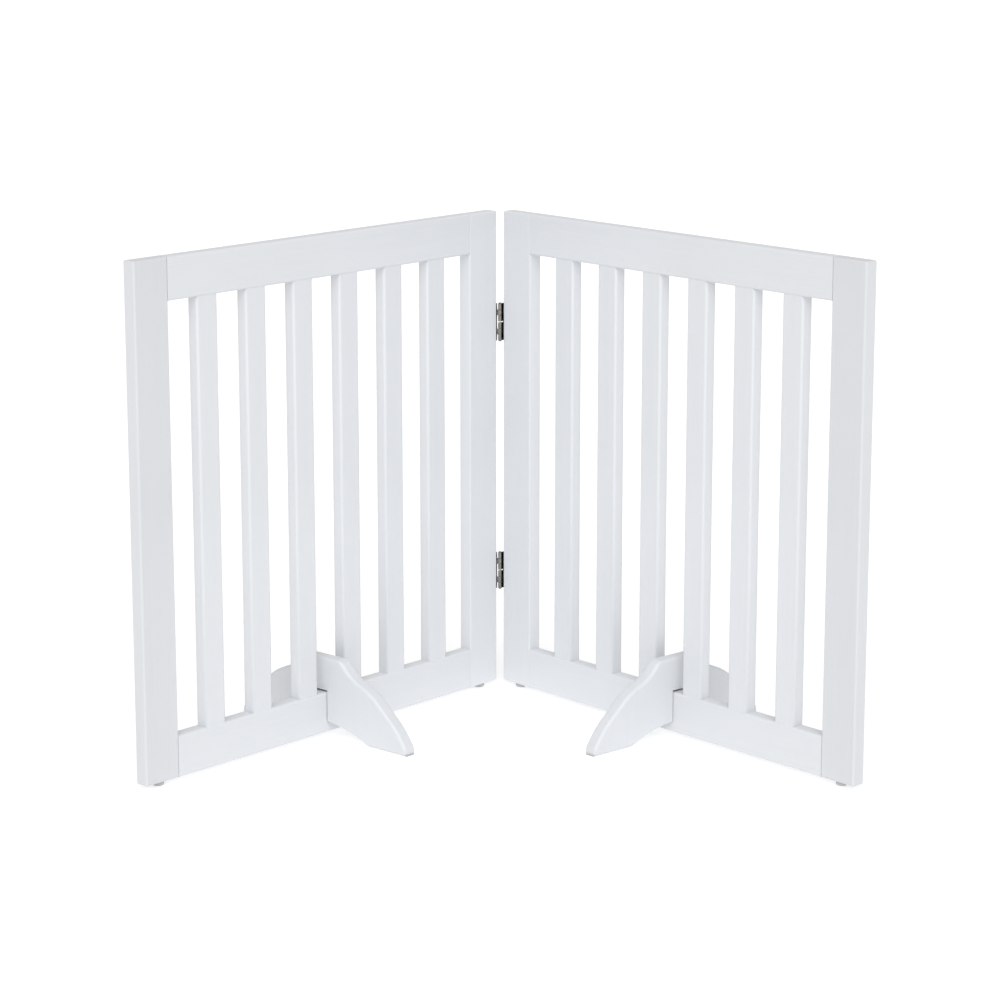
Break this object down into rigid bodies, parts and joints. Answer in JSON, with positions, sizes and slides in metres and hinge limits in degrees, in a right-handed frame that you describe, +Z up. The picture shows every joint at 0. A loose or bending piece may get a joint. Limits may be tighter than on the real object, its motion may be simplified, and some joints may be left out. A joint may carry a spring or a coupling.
{
  "type": "folding pet gate",
  "caption": "Free-standing folding pet gate: slatted white wooden panels on double-action hinges, steadied by notched support feet.",
  "frame": {"origin": "bottom centre of the standing gate, on the floor", "axes": "+X along the width of the open V, +Y from the mouth of the V to its hinge, +Z up"},
  "size_m": [0.8314, 0.4648, 0.61],
  "materials": {
    "painted_wood": "satin white paint on wood",
    "dowel_wood": "bare beech dowel",
    "hinge_steel": "nickel-plated steel",
    "glide_plastic": "grey moulded plastic"
  },
  "bodies": {
    "left_panel": {"left_inner_stile": "painted_wood", "left_outer_stile": "painted_wood", "left_bottom_rail": "painted_wood", "left_top_rail": "painted_wood", "left_slat_1": "painted_wood", "left_slat_2": "painted_wood", "left_slat_3": "painted_wood", "left_slat_4": "painted_wood", "left_slat_5": "painted_wood", "left_slat_6": "painted_wood", "left_inner_dowel_1": "dowel_wood", "left_inner_dowel_2": "dowel_wood", "left_inner_dowel_3": "dowel_wood", "left_inner_dowel_4": "dowel_wood", "left_outer_dowel_1": "dowel_wood", "left_outer_dowel_2": "dowel_wood", "left_outer_dowel_3": "dowel_wood", "left_outer_dowel_4": "dowel_wood", "left_inner_glide": "glide_plastic", "left_outer_glide": "glide_plastic", "lower_hinge_left_leaf": "hinge_steel", "lower_hinge_front_pin": "hinge_steel", "lower_hinge_left_screw_1": "hinge_steel", "lower_hinge_left_screw_2": "hinge_steel", "upper_hinge_left_leaf": "hinge_steel", "upper_hinge_front_pin": "hinge_steel", "upper_hinge_left_screw_1": "hinge_steel", "upper_hinge_left_screw_2": "hinge_steel"},
    "hinge_links": {"lower_hinge_link": "hinge_steel", "upper_hinge_link": "hinge_steel"},
    "right_panel": {"right_inner_stile": "painted_wood", "right_outer_stile": "painted_wood", "right_bottom_rail": "painted_wood", "right_top_rail": "painted_wood", "right_slat_1": "painted_wood", "right_slat_2": "painted_wood", "right_slat_3": "painted_wood", "right_slat_4": "painted_wood", "right_slat_5": "painted_wood", "right_slat_6": "painted_wood", "right_inner_dowel_1": "dowel_wood", "right_inner_dowel_2": "dowel_wood", "right_inner_dowel_3": "dowel_wood", "right_inner_dowel_4": "dowel_wood", "right_outer_dowel_1": "dowel_wood", "right_outer_dowel_2": "dowel_wood", "right_outer_dowel_3": "dowel_wood", "right_outer_dowel_4": "dowel_wood", "right_inner_glide": "glide_plastic", "right_outer_glide": "glide_plastic", "lower_hinge_right_leaf": "hinge_steel", "lower_hinge_rear_pin": "hinge_steel", "lower_hinge_right_screw_1": "hinge_steel", "lower_hinge_right_screw_2": "hinge_steel", "upper_hinge_right_leaf": "hinge_steel", "upper_hinge_rear_pin": "hinge_steel", "upper_hinge_right_screw_1": "hinge_steel", "upper_hinge_right_screw_2": "hinge_steel"},
    "left_foot": {"left_support_foot": "painted_wood"},
    "right_foot": {"right_support_foot": "painted_wood"}
  },
  "joints": [
    {"name": "front_fold", "type": "hinge", "parent": "hinge_links", "child": "left_panel", "pos_m": [0, 0.21543, 0], "axis": [0, 0, -1], "range_deg": [-35, 96.5]},
    {"name": "rear_fold", "type": "hinge", "parent": "hinge_links", "child": "right_panel", "pos_m": [0.01641, 0.23008, 0], "axis": [0, 0, 1], "range_deg": [0, 131.5]},
    {"name": "left_foot_lift", "type": "slide", "parent": "left_panel", "child": "left_foot", "axis": [0, 0, 1], "range_m": [0, 0.04]},
    {"name": "right_foot_lift", "type": "slide", "parent": "right_panel", "child": "right_foot", "axis": [0, 0, 1], "range_m": [0, 0.04]}
  ]
}
